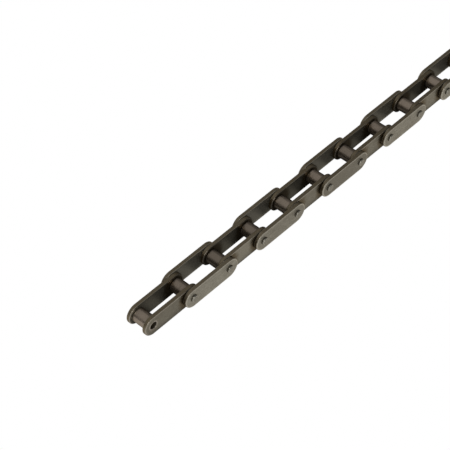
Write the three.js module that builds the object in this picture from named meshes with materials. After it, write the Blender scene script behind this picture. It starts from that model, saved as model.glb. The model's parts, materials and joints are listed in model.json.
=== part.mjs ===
// Double-pitch roller chain with straight side plates, eleven links long.
//
// Units are millimetres. +X runs along the chain, +Y along the pins and +Z up.
// The chain lies straight on the lower edges of its plates, and the origin is at
// the bottom centre of the whole length.
//
// Inner links (two plates, two bushes pressed into them, a free roller on each
// bush) alternate with outer links (two plates riveted onto two pins, which turn
// in the bushes of the neighbouring inner links). Both ends are inner links, so
// the outermost bushes stand open for a connecting link.
import * as THREE from 'three';

// Chain size
const PITCH = 38.1;
const LINK_COUNT = 11;
const INNER_WIDTH = 12.6;
const PLATE_HEIGHT = 17.2;
const PLATE_THICKNESS = 3.2;
const ROLLER_DIAMETER = 11.91;
const BUSH_DIAMETER = 8.4;
const PIN_DIAMETER = 5.96;
const PIN_LENGTH = 29.1;
const PIN_HEAD_DIAMETER = 6.2;
const PIN_HEAD_CHAMFER = 0.6; // round the end of a riveted head

// Clearances
const PLATE_SIDE_GAP = 0.3; // between an inner plate and the outer plate beside it
const ROLLER_SIDE_GAP = 0.2; // at each end of a roller
const ROLLER_CLEARANCE = 0.09; // radial, roller on bush
const PIN_CLEARANCE = 0.08; // radial, pin in bush
const SEAT_CLEARANCE = 0.04; // radial, where a bush or pin is pressed into a plate
const HEAD_CLEARANCE = 0.05; // between an outer plate and the riveted pin head

const ROLLER_CHAMFER = 0.5;
const BUSH_RECESS = 0.1; // a bush ends just inside the outer faces of its plates

// Facets
const ROUND_SEGMENTS = 24;
const PLATE_END_SEGMENTS = 12;

// Positions across the chain, measured from its middle plane
const INNER_PLATE_FACE = INNER_WIDTH / 2;
const INNER_PLATE_BACK = INNER_PLATE_FACE + PLATE_THICKNESS;
const OUTER_PLATE_FACE = INNER_PLATE_BACK + PLATE_SIDE_GAP;
const OUTER_PLATE_BACK = OUTER_PLATE_FACE + PLATE_THICKNESS;
const PIN_AXIS_HEIGHT = PLATE_HEIGHT / 2;

function steel(color, roughness) {
  return new THREE.MeshStandardMaterial({ color, roughness, metalness: 0.85 });
}

const materials = {
  innerPlate: steel(0x57524a, 0.5),
  outerPlate: steel(0x635e55, 0.46),
  bush: steel(0x4a453e, 0.42),
  roller: steel(0x6e675d, 0.36),
  pin: steel(0x7a736a, 0.34),
};

// A straight-sided plate with full-round ends and one hole at each pitch point.
// It stands in the XZ plane, centred on the middle of its link.
function plateGeometry(holeDiameter) {
  const endRadius = PLATE_HEIGHT / 2;
  const outline = new THREE.Shape();
  outline.absarc(PITCH / 2, 0, endRadius, -Math.PI / 2, Math.PI / 2, false);
  outline.absarc(-PITCH / 2, 0, endRadius, Math.PI / 2, (3 * Math.PI) / 2, false);
  for (const x of [-PITCH / 2, PITCH / 2]) {
    outline.holes.push(circlePath(x, holeDiameter / 2));
  }
  const geometry = new THREE.ExtrudeGeometry(outline, {
    depth: PLATE_THICKNESS,
    bevelEnabled: false,
    curveSegments: PLATE_END_SEGMENTS,
  });
  return geometry.translate(0, 0, -PLATE_THICKNESS / 2).rotateX(Math.PI / 2);
}

// A round hole drawn with its own even facets, clockwise as a hole is.
function circlePath(x, radius) {
  const points = [];
  for (let i = 0; i < ROUND_SEGMENTS; i += 1) {
    const angle = (-2 * Math.PI * i) / ROUND_SEGMENTS;
    points.push(new THREE.Vector2(x + radius * Math.cos(angle), radius * Math.sin(angle)));
  }
  return new THREE.Path(points);
}

// A solid of revolution about Y from [radius, height] pairs.
function turned(profile) {
  const points = profile.map(([radius, height]) => new THREE.Vector2(radius, height));
  return new THREE.LatheGeometry(points, ROUND_SEGMENTS, Math.PI / 2);
}

// A tube about Y whose outer edges may be chamfered.
function tubeGeometry(outerRadius, innerRadius, length, chamfer) {
  const end = length / 2;
  const outer = chamfer > 0
    ? [[outerRadius - chamfer, -end], [outerRadius, chamfer - end],
      [outerRadius, end - chamfer], [outerRadius - chamfer, end]]
    : [[outerRadius, -end], [outerRadius, end]];
  return turned([[innerRadius, -end], ...outer, [innerRadius, end], [innerRadius, -end]]);
}

// A pin about Y: a plain shaft with a riveted head outside each outer plate.
function pinGeometry() {
  const tip = PIN_LENGTH / 2;
  const neck = OUTER_PLATE_BACK + HEAD_CLEARANCE;
  const rim = tip - PIN_HEAD_CHAMFER;
  const shaftRadius = PIN_DIAMETER / 2;
  const headRadius = PIN_HEAD_DIAMETER / 2;
  const faceRadius = headRadius - PIN_HEAD_CHAMFER;
  return turned([
    [0, -tip],
    [faceRadius, -tip],
    [headRadius, -rim],
    [headRadius, -neck],
    [shaftRadius, -neck],
    [shaftRadius, neck],
    [headRadius, neck],
    [headRadius, rim],
    [faceRadius, tip],
    [0, tip],
  ]);
}

const geometries = {
  innerPlate: plateGeometry(BUSH_DIAMETER + 2 * SEAT_CLEARANCE),
  outerPlate: plateGeometry(PIN_DIAMETER + 2 * SEAT_CLEARANCE),
  bush: tubeGeometry(
    BUSH_DIAMETER / 2,
    PIN_DIAMETER / 2 + PIN_CLEARANCE,
    2 * (INNER_PLATE_BACK - BUSH_RECESS),
    0,
  ),
  roller: tubeGeometry(
    ROLLER_DIAMETER / 2,
    BUSH_DIAMETER / 2 + ROLLER_CLEARANCE,
    INNER_WIDTH - 2 * ROLLER_SIDE_GAP,
    ROLLER_CHAMFER,
  ),
  pin: pinGeometry(),
};

function piece(name, kind, x, y) {
  const mesh = new THREE.Mesh(geometries[kind], materials[kind]);
  mesh.name = name;
  mesh.position.set(x, y, 0);
  return mesh;
}

const number = (value) => String(value).padStart(2, '0');

// Both plates of a link, centred on the link's own origin.
function addPlates(link, label, kind, face) {
  const middle = face + PLATE_THICKNESS / 2;
  link.add(piece(`${label}_plate_near`, kind, 0, -middle));
  link.add(piece(`${label}_plate_far`, kind, 0, middle));
}

// The cross axes are numbered along the chain, so link i lies between axis i and
// axis i + 1, and a pin shares its number with the bush and roller around it.
function crossAxes(index) {
  return [[number(index), -PITCH / 2], [number(index + 1), PITCH / 2]];
}

function innerLink(index) {
  const link = new THREE.Group();
  addPlates(link, `link_${number(index)}_inner`, 'innerPlate', INNER_PLATE_FACE);
  for (const [axis, x] of crossAxes(index)) {
    link.add(piece(`bush_${axis}`, 'bush', x, 0));
    link.add(piece(`roller_${axis}`, 'roller', x, 0));
  }
  return link;
}

function outerLink(index) {
  const link = new THREE.Group();
  addPlates(link, `link_${number(index)}_outer`, 'outerPlate', OUTER_PLATE_FACE);
  for (const [axis, x] of crossAxes(index)) {
    link.add(piece(`pin_${axis}`, 'pin', x, 0));
  }
  return link;
}

const chain = new THREE.Group();
for (let index = 1; index <= LINK_COUNT; index += 1) {
  const link = index % 2 === 1 ? innerLink(index) : outerLink(index);
  link.position.set((index - (LINK_COUNT + 1) / 2) * PITCH, 0, PIN_AXIS_HEIGHT);
  chain.add(link);
}

export default chain;
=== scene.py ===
"""A straight length of double-pitch roller chain that lies on the edges of its plates."""

import json
import math

import bmesh
import bpy
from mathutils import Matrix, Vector


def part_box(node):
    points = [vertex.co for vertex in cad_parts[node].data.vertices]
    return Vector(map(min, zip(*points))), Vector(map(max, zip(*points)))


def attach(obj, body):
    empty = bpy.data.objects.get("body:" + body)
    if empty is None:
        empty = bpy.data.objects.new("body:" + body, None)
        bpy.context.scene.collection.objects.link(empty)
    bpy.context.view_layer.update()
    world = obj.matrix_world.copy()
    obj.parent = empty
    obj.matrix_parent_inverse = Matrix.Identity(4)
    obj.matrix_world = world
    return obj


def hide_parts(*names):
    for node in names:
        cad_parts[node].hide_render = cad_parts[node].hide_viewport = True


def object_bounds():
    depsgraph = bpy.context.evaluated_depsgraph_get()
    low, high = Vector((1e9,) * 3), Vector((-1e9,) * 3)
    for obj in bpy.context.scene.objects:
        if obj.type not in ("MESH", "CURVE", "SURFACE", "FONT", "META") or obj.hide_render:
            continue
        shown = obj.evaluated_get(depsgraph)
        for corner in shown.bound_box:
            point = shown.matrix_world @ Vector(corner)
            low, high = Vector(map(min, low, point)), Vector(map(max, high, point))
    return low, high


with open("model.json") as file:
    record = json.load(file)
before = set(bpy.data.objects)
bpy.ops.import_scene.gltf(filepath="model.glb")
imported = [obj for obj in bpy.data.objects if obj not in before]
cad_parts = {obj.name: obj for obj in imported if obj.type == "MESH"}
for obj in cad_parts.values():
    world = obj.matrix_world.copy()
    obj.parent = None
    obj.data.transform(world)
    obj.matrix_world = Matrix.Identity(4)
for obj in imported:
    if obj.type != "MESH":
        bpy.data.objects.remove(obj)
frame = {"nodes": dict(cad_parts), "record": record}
cad_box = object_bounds()

MM = 0.001
PITCH = 38.1 * MM

# Round features that the CAD boxes don't give
BUSH_RADIUS = 4.2 * MM
PIN_RADIUS = 2.98 * MM
PIN_HEAD_RADIUS = 3.1 * MM
PIN_HEAD_SEAT = 13.05 * MM  # distance of a pin head's underside from the middle plane
SEAT_GAP = 0.04 * MM  # round a bush or pin that is pressed into a plate
BUSH_BORE = PIN_RADIUS + 0.08 * MM
ROLLER_BORE = BUSH_RADIUS + 0.09 * MM

# Rounding of the edges
PLATE_EDGE = 0.4 * MM  # along a plate's straight edges
PLATE_TIP_EDGE = 0.8 * MM  # at the tips of its round ends, where punching draws it in more
HOLE_EDGE = 0.2 * MM
BUSH_EDGE = 0.15 * MM
BUSH_BORE_EDGE = 0.3 * MM
ROLLER_EDGE = 0.55 * MM
ROLLER_BORE_EDGE = 0.25 * MM
PIN_HEAD_EDGE = 0.8 * MM

# Rings of the meshes
BORDER = 1.3 * MM  # width of the strip beside a plate's outer edge
HOLE_BORDER = 0.6 * BORDER
WALL_BORDER = 0.25 * BORDER  # height of the strip below the rounding, on a plate's outer wall
EDGE_STEPS = 5
HEAD_EDGE_STEPS = 7
ARC_STEPS = 44
SIDE_STEPS = 10
MIDDLE_STEPS = 10
FACE_STEPS = 6
ROUND_STEPS = 72
ROLLER_STEPS = 96
MERGE_DISTANCE = 0.0001 * MM

# Oil stains round the joints, which also paint shade there, by their reach from a joint in
# millimetres
NO_STAIN_OR_SHADE = 60.0  # a reach that no stain gets to
WALL_REACH = 20.0  # reach of the edge walls, which falls to 0 at the tips of the round ends
TIP_START = 0.6  # where it starts to fall, in radii of the round end
TIP_SPAN = 0.35  # how far on it reaches 0

# Colours and grain of the steel
# Brown of the oil stains round the joints, laid on also as painted shade there.
OIL_AND_SHADE_BROWN = (0.060, 0.042, 0.020)
WALL_BROWN = (0.148, 0.116, 0.070)
RUST_BROWN = (0.105, 0.066, 0.046)
FACE_GRAIN = (0.18, 2.2, 1.6)  # per millimetre along X, Y and Z
TURNED_GRAIN = (0.10, 5.0, 0.10)
# Painted light: the faces between the plates are made lighter by this factor.
INSIDE_PAINTED_LIGHT = 1.6  # how much lighter the faces between the plates are
BUMP_HEIGHT = 0.06 * MM

# Camera
VIEW_AZIMUTH = -47.38
VIEW_ELEVATION = 46.77
VIEW_DISTANCE = 1.071
VIEW_LENS = 113.58
VIEW_TARGET = Vector((-0.10348, 0.01959, 0.0086))

# Floor and room
FLOOR_REACH = 6.0
FLOOR_DROP = 0.1 * MM  # keeps the floor clear of the plates' lower edges
FLOOR_LIGHT = 0.95
ROOM_LIGHT = 0.22
SHADE_LIGHT = 0.035  # brightness of the floor under the rollers
SHADE_MIDDLE_LIGHT = SHADE_LIGHT + 0.16  # and half-way between them
SHADE_HALF_WIDTH = 10.5 * MM
SHADE_HALF_LENGTH = 216 * MM
SHADE_EDGE = 3 * MM
ROLLER_SHADE = (10 * MM, 17 * MM)  # distances from a roller between which its shade fades
LIGHT_AIM = Vector((-0.1, 0, 0))


# ---------------------------------------------------------------- meshes


class Builder:
    """Collects vertices with their surface values, then makes a mesh object.

    wear_and_highlight: how far an edge is rubbed bright and painted with a highlight. wall: 1 on
    sheared or hidden walls. inside: 1 on faces turned to the middle of the chain, which
    get painted light. reach: distance from an oily joint, in millimetres, for the oil stain
    and its painted shade. tone: one value for the whole piece.
    """

    def __init__(self):
        self.points = []
        self.faces = []
        self.values = {"wear_and_highlight": [], "wall": [], "inside": [], "reach": []}

    def point(self, co, wear_and_highlight, wall, inside=0.0, reach=NO_STAIN_OR_SHADE):
        self.points.append(co)
        for column, value in zip(self.values.values(), (wear_and_highlight, wall, inside, reach)):
            column.append(value)
        return len(self.points) - 1

    def make(self, name, material, tone):
        mesh = bpy.data.meshes.new(name)
        mesh.from_pydata(self.points, [], self.faces)
        self.values["tone"] = [tone] * len(self.points)
        for label, column in self.values.items():
            mesh.attributes.new(label, "FLOAT", "POINT").data.foreach_set("value", column)
        work = bmesh.new()
        work.from_mesh(mesh)
        bmesh.ops.remove_doubles(work, verts=work.verts, dist=MERGE_DISTANCE)
        bmesh.ops.recalc_face_normals(work, faces=work.faces)
        work.to_mesh(mesh)
        work.free()
        mesh.shade_smooth()
        mesh.materials.append(material)
        obj = bpy.data.objects.new(name, mesh)
        bpy.context.scene.collection.objects.link(obj)
        return obj


def quarter_turn(steps=EDGE_STEPS):
    """Angles from 0 to a right angle."""
    return [math.pi / 2 * i / steps for i in range(steps + 1)]


# ---------------------------------------------------------------- plates


def plate_rays():
    """Directions round a pitch point for one half of a plate: (kind, value) pairs.

    kind "arc" is an angle on the round end, "side" a distance along the straight edge
    towards the middle of the plate, and "middle" a height on the plate's middle line.
    """
    rays = []
    for i in range(ARC_STEPS + 1):
        rays.append(("arc", math.pi * (i / ARC_STEPS - 0.5)))
    for i in range(1, SIDE_STEPS + 1):
        rays.append(("side", (1, PITCH / 2 * i / SIDE_STEPS)))
    for i in range(1, MIDDLE_STEPS):
        rays.append(("middle", 1 - 2 * i / MIDDLE_STEPS))
    for i in range(SIDE_STEPS, 0, -1):
        rays.append(("side", (-1, PITCH / 2 * i / SIDE_STEPS)))
    return rays


def outline_point(kind, value, radius, inset):
    """A point on the plate's outline drawn in by inset, relative to the pitch point."""
    r = radius - inset
    if kind == "arc":
        return r * math.cos(value), r * math.sin(value)
    if kind == "side":
        return -value[1], value[0] * r
    return -PITCH / 2, value * (radius - BORDER)


def edge_size(kind, value):
    """Rounding of the plate's edge at one place on its outline."""
    if kind == "arc":
        return PLATE_EDGE + (PLATE_TIP_EDGE - PLATE_EDGE) * math.cos(value)
    return PLATE_EDGE


def plate_section(kind, value, radius, half, hole):
    """Points over half the plate's thickness along one ray, from its hole to its outer wall.

    Each is (x, z, y, wear, wall), with x and z from the pitch point, x away from the middle
    of the plate, and y from its middle plane.
    """
    ex, ez = outline_point(kind, value, radius, BORDER)
    length = math.hypot(ex, ez)
    c, s = ex / length, ez / length
    points = [(hole * c, hole * s, 0.0, 0.0, 1.0)]
    for turn in quarter_turn():
        r = hole + HOLE_EDGE * (1 - math.cos(turn))
        points.append((r * c, r * s, half - HOLE_EDGE * (1 - math.sin(turn)), 0.5, 0.6))
    inner = hole + HOLE_BORDER
    for i in range(FACE_STEPS + 1):
        share = i / FACE_STEPS
        x = inner * c + (ex - inner * c) * share
        z = inner * s + (ez - inner * s) * share
        points.append((x, z, half, 0.0, 0.0))
    if kind == "middle":
        return points
    edge = edge_size(kind, value)
    # Rounding of the outer edge: marked lighter as a rubbed edge and also as a painted highlight.
    for turn in quarter_turn():
        x, z = outline_point(kind, value, radius, edge * (1 - math.sin(turn)))
        share = turn / (math.pi / 2)
        points.append((x, z, half - edge * (1 - math.cos(turn)), 1.0 - share * share, 0.9 * share))
    x, z = outline_point(kind, value, radius, 0.0)
    points.append((x, z, half - edge - WALL_BORDER, 0.0, 1.0))
    points.append((x, z, 0.0, 0.0, 1.0))
    return points


def stain_and_shade_reach(x, z, wall, radius, stained_shaded_faces):
    """How far a point of a plate counts as being from the joint, in millimetres, for its oil stain
    and painted shade.
    """
    if wall == 1.0:
        tip = (x / radius - TIP_START) / TIP_SPAN
        return WALL_REACH * (1 - min(max(tip, 0.0), 1.0))
    return math.hypot(x, z) / MM if stained_shaded_faces else NO_STAIN_OR_SHADE


def plate(node, hole, stained_shaded_faces):
    """A stamped plate with softened edges, built as rings round its two holes.

    stained_shaded_faces: the oil stain and its painted shade spread from the joints over the faces,
    and not only over the end walls.
    """
    lo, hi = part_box(node)
    centre, radius = (lo + hi) / 2, (hi.z - lo.z) / 2
    half = (hi.y - lo.y) / 2
    sections = [plate_section(kind, value, radius, half, hole) for kind, value in plate_rays()]
    b = Builder()
    for end in (-1, 1):
        open_end = abs(centre.x + end * PITCH / 2) > cad_box[1][0] - PITCH
        for side in (-1, 1):
            turned_in = side * centre.y < 0
            columns = []
            for section in sections:
                column = []
                for x, z, y, wear_and_highlight, wall in section:
                    co = (centre.x + end * (PITCH / 2 + x), centre.y + side * y, centre.z + z)
                    inside = 1.0 if turned_in and y > half - PLATE_EDGE else 0.0
                    reach = NO_STAIN_OR_SHADE if open_end else stain_and_shade_reach(x, z, wall, radius, stained_shaded_faces)
                    column.append(b.point(co, wear_and_highlight, wall, inside, reach))
                columns.append(column)
            for one, two in zip(columns, columns[1:] + columns[:1]):
                for j in range(min(len(one), len(two)) - 1):
                    b.faces.append((one[j], two[j], two[j + 1], one[j + 1]))
    return b


def inner_plate(node):
    return plate(node, BUSH_RADIUS + SEAT_GAP, stained_shaded_faces=True)


def outer_plate(node):
    return plate(node, PIN_RADIUS + SEAT_GAP, stained_shaded_faces=False)


# ---------------------------------------------------------------- turned pieces


def turned(node, profile, steps=ROUND_STEPS):
    """A solid of revolution about the node's own Y axis.

    profile is a list of (radius, y, wear, wall), from one end to the other; it closes on
    itself unless it starts and ends on the axis.
    """
    lo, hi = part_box(node)
    centre = (lo + hi) / 2
    b = Builder()
    rings = []
    for radius, y, wear_and_highlight, wall in profile:
        ring = []
        for i in range(steps if radius else 1):
            angle = math.tau * i / steps
            x, z = radius * math.cos(angle), radius * math.sin(angle)
            ring.append(b.point((centre.x + x, centre.y + y, centre.z + z), wear_and_highlight, wall))
        rings.append(ring if radius else ring * steps)
    if profile[0][0] != 0:
        rings.append(rings[0])
    for one, two in zip(rings, rings[1:]):
        for i in range(steps):
            k = (i + 1) % steps
            corners = dict.fromkeys((one[i], one[k], two[k], two[i]))
            b.faces.append(tuple(corners))
    return b


def rounded(corner, start, finish, radius, wear_and_highlight, wall=0.0):
    """Profile points of a rounded corner between two square directions, each (dr, dy)."""
    r, y = corner
    cr, cy = r + (start[0] + finish[0]) * radius, y + (start[1] + finish[1]) * radius
    points = []
    for turn in quarter_turn():
        dr = finish[0] * math.cos(turn) + start[0] * math.sin(turn)
        dy = finish[1] * math.cos(turn) + start[1] * math.sin(turn)
        points.append((cr - dr * radius, cy - dy * radius, wear_and_highlight, wall))
    return points


def tube_profile(outer, bore, half, outer_edge, bore_edge):
    """A tube from -half to half with rounded edges; wear is 1 on the outer edges."""
    points = []
    points += rounded((bore, -half), (0, 1), (1, 0), bore_edge, 0.4, 0.5)
    points += rounded((outer, -half), (-1, 0), (0, 1), outer_edge, 1.0)
    points += [(outer, y * half, 0.0, 0.0) for y in (-0.8, -0.4, 0.0, 0.4, 0.8)]
    points += rounded((outer, half), (0, -1), (-1, 0), outer_edge, 1.0)
    points += rounded((bore, half), (1, 0), (0, -1), bore_edge, 0.4, 0.5)
    points += [(bore, y * half, 0.0, 1.0) for y in (0.8, 0.0, -0.8)]
    return points


def half_sizes(node):
    """Radius and half length of a turned piece."""
    lo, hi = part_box(node)
    return (hi.z - lo.z) / 2, (hi.y - lo.y) / 2


def bush(node):
    radius, half = half_sizes(node)
    return turned(node, tube_profile(radius, BUSH_BORE, half, BUSH_EDGE, BUSH_BORE_EDGE))


def roller(node):
    radius, half = half_sizes(node)
    profile = tube_profile(radius, ROLLER_BORE, half, ROLLER_EDGE, ROLLER_BORE_EDGE)
    return turned(node, profile, ROLLER_STEPS)


def pin(node):
    """A shaft with a riveted head at each end: a short drum with a round rim and a spun face."""
    tip = half_sizes(node)[1]
    rim = tip - 0.03 * MM
    face_radius = PIN_HEAD_RADIUS - PIN_HEAD_EDGE
    end = [
        (0, tip - 0.10 * MM, 0.2, 0.2),
        (0.35 * MM, tip - 0.09 * MM, 0.2, 0.2),
        (0.65 * MM, tip - 0.01 * MM, 0.6, 0.0),
        (1.00 * MM, tip, 0.5, 0.0),
        (1.60 * MM, tip - 0.01 * MM, 0.3, 0.0),
        (1.80 * MM, tip - 0.05 * MM, 0.1, 0.2),
        (2.05 * MM, rim, 0.5, 0.0),
    ]
    # Round rim of the head: marked lighter as rubbing and also as a painted highlight.
    for turn in quarter_turn(HEAD_EDGE_STEPS):
        radius = face_radius + PIN_HEAD_EDGE * math.sin(turn)
        end.append((radius, rim - PIN_HEAD_EDGE * (1 - math.cos(turn)), 0.8, 0.0))
    end += [
        (PIN_HEAD_RADIUS, PIN_HEAD_SEAT + 0.25 * MM, 0.6, 0.0),
        (PIN_HEAD_RADIUS, PIN_HEAD_SEAT + 0.08 * MM, 0.0, 1.0),
        (PIN_HEAD_RADIUS - 0.08 * MM, PIN_HEAD_SEAT, 0.0, 1.0),
        (PIN_RADIUS, PIN_HEAD_SEAT, 0.0, 1.0),
        (PIN_RADIUS, PIN_HEAD_SEAT / 2, 0.0, 0.0),
    ]
    other_end = [(radius, -y, wear_and_highlight, wall) for radius, y, wear_and_highlight, wall in end]
    return turned(node, other_end + end[::-1])


# ---------------------------------------------------------------- materials


class Nodes:
    """Short names for building a node tree."""

    def __init__(self, tree):
        self.tree = tree
        tree.nodes.clear()

    def add(self, kind, **settings):
        node = self.tree.nodes.new(kind)
        for key, value in settings.items():
            setattr(node, key, value)
        return node

    def feed(self, socket, value):
        """Link a socket to another, or set its own value."""
        if isinstance(value, bpy.types.NodeSocket):
            self.tree.links.new(value, socket)
        else:
            socket.default_value = value

    def fill(self, node, values):
        for key, value in values.items():
            self.feed(node.inputs[key], value)

    def math(self, operation, *values):
        node = self.add("ShaderNodeMath", operation=operation)
        self.fill(node, dict(enumerate(values)))
        return node.outputs[0]

    def weighted(self, *terms):
        """The sum of each value times its weight."""
        total = 0.0
        for value, weight in terms:
            total = self.math("MULTIPLY_ADD", value, weight, total)
        return total

    def times(self, vector, factors):
        node = self.add("ShaderNodeVectorMath", operation="MULTIPLY")
        self.fill(node, {0: vector, 1: factors})
        return node.outputs[0]

    def stretch(self, value, low, high, to_low=0.0, to_high=1.0):
        """Ease value from one range into another."""
        node = self.add("ShaderNodeMapRange", interpolation_type="SMOOTHSTEP")
        ranges = {"From Min": low, "From Max": high, "To Min": to_low, "To Max": to_high}
        self.fill(node, {"Value": value, **ranges})
        return node.outputs["Result"]

    def mix(self, share, a, b):
        """Mix two colours, each a socket or (red, green, blue)."""
        node = self.add("ShaderNodeMix", data_type="RGBA")
        self.feed(node.inputs["Factor"], share)
        for key, value in (("A", a), ("B", b)):
            socket = [s for s in node.inputs if s.name == key and s.type == "RGBA"][0]
            self.feed(socket, value if isinstance(value, bpy.types.NodeSocket) else (*value, 1.0))
        return [s for s in node.outputs if s.type == "RGBA"][0]

    def mix_shaders(self, share, a, b):
        node = self.add("ShaderNodeMixShader")
        self.fill(node, {0: share, 1: a, 2: b})
        return node.outputs[0]

    def noise(self, vector, scale, detail, roughness, distortion=0.0):
        node = self.add("ShaderNodeTexNoise")
        shape = {"Scale": scale, "Detail": detail, "Roughness": roughness, "Distortion": distortion}
        self.fill(node, {"Vector": vector, **shape})
        return node.outputs["Fac"]

    def attribute(self, name):
        return self.add("ShaderNodeAttribute", attribute_name=name).outputs["Fac"]


def new_material(name):
    material = bpy.data.materials.new(name)
    material.use_nodes = True
    return material, Nodes(material.node_tree)


def steel_colour(n, spot, fields, dark, light, edge, stain_and_shade):
    """Mottled steel, then its walls, painted light on its inside faces, oil stains with
    painted shade, rust, and rubbed edges with a painted highlight over it.
    """
    film, cloud, lines, specks = fields
    wear_and_highlight, wall, inside, tone = (n.attribute(k) for k in ("wear_and_highlight", "wall", "inside", "tone"))
    shade = n.weighted((cloud, 0.55), (lines, 0.45), (film, 0.5), (tone, 0.22))
    colour = n.mix(n.stretch(shade, 0.5, 1.03), dark, light)
    sheared = n.math("MULTIPLY", wall, n.stretch(lines, 0.3, 0.7, 0.55, 1.0))
    colour = n.mix(sheared, colour, WALL_BROWN)
    # Painted light: the faces turned to the middle of the chain are made lighter.
    painted_inside_light = tuple(INSIDE_PAINTED_LIGHT * v for v in light)
    colour = n.mix(n.math("MULTIPLY", inside, 0.7), colour, painted_inside_light)
    # Oil stain round the joints and on the round ends' walls, darker also as painted shade.
    if stain_and_shade:
        near, far, strength = stain_and_shade
        raggedness = n.math("SUBTRACT", cloud, 0.5)
        reach = n.weighted((n.attribute("reach"), 1.0), (raggedness, far - near))
        oil = n.math("MULTIPLY", n.stretch(reach, far, near), strength)
        colour = n.mix(oil, colour, OIL_AND_SHADE_BROWN)
    rust = n.stretch(n.noise(spot, 0.21, 6.0, 0.7, 1.2), 0.60, 0.74, 0.0, 0.45)
    colour = n.mix(rust, colour, RUST_BROWN)
    # Rubbed edges, made lighter also as a painted highlight.
    rubbed = n.math("MULTIPLY", wear_and_highlight, n.stretch(specks, 0.30, 0.62, 0.35, 1.0))
    return n.mix(rubbed, colour, edge)


def steel_roughness(n, fields, rough):
    """Uneven oil, and rougher walls where the metal was sheared."""
    film, cloud = fields[:2]
    even = n.weighted((cloud, 0.6), (film, 0.4))
    return n.weighted((n.stretch(even, 0.3, 0.7, *rough), 1.0), (n.attribute("wall"), 0.12))


def steel_bump(n, fields):
    """Fine rolling or turning marks with small pits."""
    film, cloud, lines, specks = fields
    bump = n.add("ShaderNodeBump")
    height = n.weighted((lines, 0.55), (specks, 0.30), (cloud, 0.35))
    n.fill(bump, {"Strength": 0.35, "Distance": BUMP_HEIGHT, "Height": height})
    return bump.outputs["Normal"]


def oiled_steel(name, dark, light, edge, grain, rough, stain_and_shade=None):
    """Dark steel under a thin oil film.

    dark, light: the colours that it is mottled with. edge: colour of its rubbed edges,
    which also paints a highlight on them. grain: scale of the surface grain. rough: range of
    roughness. stain: (near, far, strength) of the brown oil stain and painted shade round a
    joint, full up to near and gone at far, by reach.
    """
    material, n = new_material(name)
    spot = n.times(n.add("ShaderNodeTexCoord").outputs["Object"], (1 / MM, 1 / MM, 1 / MM))
    fields = (
        n.noise(spot, 0.09, 5.0, 0.6, 0.6),
        n.noise(spot, 0.55, 6.0, 0.62),
        n.noise(n.times(spot, grain), 1.0, 5.0, 0.6),
        n.noise(spot, 3.2, 3.0, 0.7),
    )
    shader = n.add("ShaderNodeBsdfPrincipled")
    look = {
        "Base Color": steel_colour(n, spot, fields, dark, light, edge, stain_and_shade),
        "Roughness": steel_roughness(n, fields, rough),
        "Normal": steel_bump(n, fields),
        "Metallic": 0.90,
        "Specular IOR Level": 0.3,
        "Specular Tint": (0.62, 0.56, 0.48, 1),
        "Coat Weight": 0.08,
        "Coat Roughness": 0.22,
        "Coat IOR": 1.46,
    }
    n.fill(shader, look)
    n.fill(n.add("ShaderNodeOutputMaterial"), {"Surface": shader.outputs[0]})
    return material


materials = {
    "inner_plate": oiled_steel(
        "inner_plate_steel",
        dark=(0.105, 0.096, 0.076),
        light=(0.195, 0.181, 0.144),
        edge=(0.30, 0.27, 0.22),
        grain=FACE_GRAIN,
        rough=(0.30, 0.46),
        # oil stain and painted shade round the joints
        stain_and_shade=(9.0, 15.0, 0.88),
    ),
    "outer_plate": oiled_steel(
        "outer_plate_steel",
        dark=(0.140, 0.130, 0.106),
        light=(0.265, 0.250, 0.205),
        edge=(0.38, 0.35, 0.29),
        grain=FACE_GRAIN,
        rough=(0.30, 0.46),
        # oil stain and painted shade round the joints
        stain_and_shade=(2.0, 6.0, 0.85),
    ),
    "bush": oiled_steel(
        "bush_steel",
        dark=(0.090, 0.080, 0.066),
        light=(0.170, 0.152, 0.128),
        edge=(0.34, 0.31, 0.27),
        grain=TURNED_GRAIN,
        rough=(0.24, 0.36),
    ),
    "roller": oiled_steel(
        "roller_steel",
        dark=(0.166, 0.137, 0.107),
        light=(0.263, 0.216, 0.171),
        edge=(0.32, 0.28, 0.23),
        grain=TURNED_GRAIN,
        rough=(0.26, 0.38),
    ),
    "pin": oiled_steel(
        "pin_steel",
        dark=(0.105, 0.098, 0.082),
        light=(0.176, 0.168, 0.138),
        edge=(0.30, 0.285, 0.24),
        grain=TURNED_GRAIN,
        rough=(0.26, 0.40),
    ),
}


# ---------------------------------------------------------------- pieces

shapes = {
    "inner_plate": inner_plate,
    "outer_plate": outer_plate,
    "bush": bush,
    "roller": roller,
    "pin": pin,
}
bodies = frame["record"]["behaviour"]["bodies"]
slots = {s["node"]: s["material_slot"] for s in frame["record"]["subparts"]}


def tone_of(index):
    """A fixed, uneven sequence from -1 to 1, so that no two pieces are quite alike."""
    return math.sin(12.9898 * index + 4.1414) * math.cos(7.233 * index)


def add_piece(index, node):
    kind = slots[node]
    obj = shapes[kind](node).make(node + "_steel", materials[kind], tone_of(index))
    body = next(b for b, members in bodies.items() if node in members)
    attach(obj, body)
    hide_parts(node)


for number, node_name in enumerate(sorted(frame["nodes"])):
    add_piece(number, node_name)


# ---------------------------------------------------------------- stage


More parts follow.
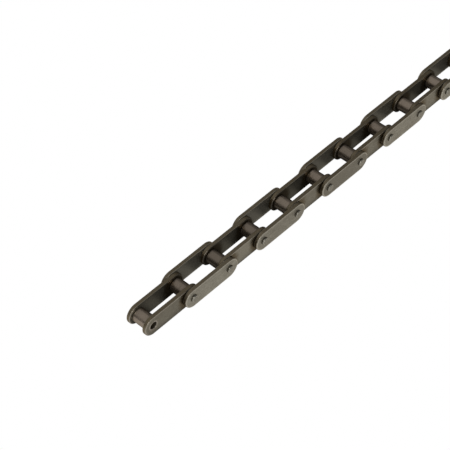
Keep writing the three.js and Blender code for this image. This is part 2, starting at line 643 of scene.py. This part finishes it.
def floor_light(n):
    """Bright beside the chain, with painted shade between its plates, most of all under the
    rollers.
    """
    parts = n.add("ShaderNodeSeparateXYZ")
    n.fill(parts, {0: n.add("ShaderNodeTexCoord").outputs["Object"]})
    x, y = parts.outputs["X"], parts.outputs["Y"]
    beside = n.math("SUBTRACT", n.math("ABSOLUTE", y), SHADE_HALF_WIDTH)
    beyond = n.math("SUBTRACT", n.math("ABSOLUTE", x), SHADE_HALF_LENGTH)
    clear = n.math("MAXIMUM", beside, beyond)
    from_roller = n.math("PINGPONG", n.math("SUBTRACT", x, PITCH / 2), PITCH / 2)
    shade = n.stretch(from_roller, *ROLLER_SHADE, SHADE_LIGHT, SHADE_MIDDLE_LIGHT)
    return n.stretch(clear, -SHADE_EDGE, SHADE_EDGE, shade, FLOOR_LIGHT)


def make_floor():
    """A white table top. The camera looks past it, and light passes it from below, so that
    links folded below it still show."""
    material, n = new_material("floor_white")
    shader = n.add("ShaderNodeBsdfPrincipled")
    look = {
        "Base Color": (0.08, 0.08, 0.08, 1),
        "Roughness": 0.9,
        "Emission Color": (1, 1, 1, 1),
        "Emission Strength": floor_light(n),
    }
    n.fill(shader, look)
    from_below = n.add("ShaderNodeNewGeometry").outputs["Backfacing"]
    nothing = n.add("ShaderNodeBsdfTransparent").outputs[0]
    surface = n.mix_shaders(from_below, shader.outputs[0], nothing)
    n.fill(n.add("ShaderNodeOutputMaterial"), {"Surface": surface})

    mesh = bpy.data.meshes.new("floor")
    corners = [(-1, -1), (1, -1), (1, 1), (-1, 1)]
    points = [(x * FLOOR_REACH, y * FLOOR_REACH, -FLOOR_DROP) for x, y in corners]
    mesh.from_pydata(points, [], [(0, 1, 2, 3)])
    mesh.materials.append(material)
    floor = bpy.data.objects.new("floor", mesh)
    floor.visible_camera = False
    bpy.context.scene.collection.objects.link(floor)


def make_world():
    """A dim, even room over a bright lower half; the camera itself sees plain white."""
    world = bpy.data.worlds.new("studio")
    world.use_nodes = True
    bpy.context.scene.world = world
    n = Nodes(world.node_tree)
    parts = n.add("ShaderNodeSeparateXYZ")
    n.fill(parts, {0: n.add("ShaderNodeTexCoord").outputs["Generated"]})
    light = n.stretch(parts.outputs["Z"], -0.001, 0.001, FLOOR_LIGHT, ROOM_LIGHT)
    room = n.add("ShaderNodeBackground")
    n.fill(room, {"Color": (1, 1, 1, 1), "Strength": light})
    white = n.add("ShaderNodeBackground")
    n.fill(white, {"Color": (1, 1, 1, 1), "Strength": 1.0})
    seen = n.add("ShaderNodeLightPath").outputs["Is Camera Ray"]
    surface = n.mix_shaders(seen, room.outputs[0], white.outputs[0])
    n.fill(n.add("ShaderNodeOutputWorld"), {"Surface": surface})


def area_light(name, place, size, power):
    data = bpy.data.lights.new(name, "AREA")
    data.shape = "RECTANGLE"
    data.size, data.size_y = size
    data.energy = power
    light = bpy.data.objects.new(name, data)
    light.location = place
    light.rotation_euler = (LIGHT_AIM - Vector(place)).to_track_quat("-Z", "Y").to_euler()
    bpy.context.scene.collection.objects.link(light)


def make_camera():
    data = bpy.data.cameras.new("camera")
    data.sensor_width = 36
    data.sensor_fit = "HORIZONTAL"
    data.lens = VIEW_LENS
    data.clip_start, data.clip_end = 0.01, 50
    camera = bpy.data.objects.new("camera", data)
    a, e = math.radians(VIEW_AZIMUTH), math.radians(VIEW_ELEVATION)
    back = Vector((math.sin(a) * math.cos(e), -math.cos(a) * math.cos(e), math.sin(e)))
    camera.location = VIEW_TARGET + back * VIEW_DISTANCE
    camera.rotation_mode = "QUATERNION"
    camera.rotation_quaternion = (-back).to_track_quat("-Z", "Y")
    bpy.context.scene.collection.objects.link(camera)
    bpy.context.scene.camera = camera


make_floor()
make_world()
area_light("softbox", place=(-0.28, 0.40, 1.10), size=(2.2, 2.0), power=5.8)
area_light("key", place=(-0.80, -0.80, 0.70), size=(0.45, 0.45), power=5.4)
make_camera()
bpy.context.scene.view_settings.view_transform = "Standard"
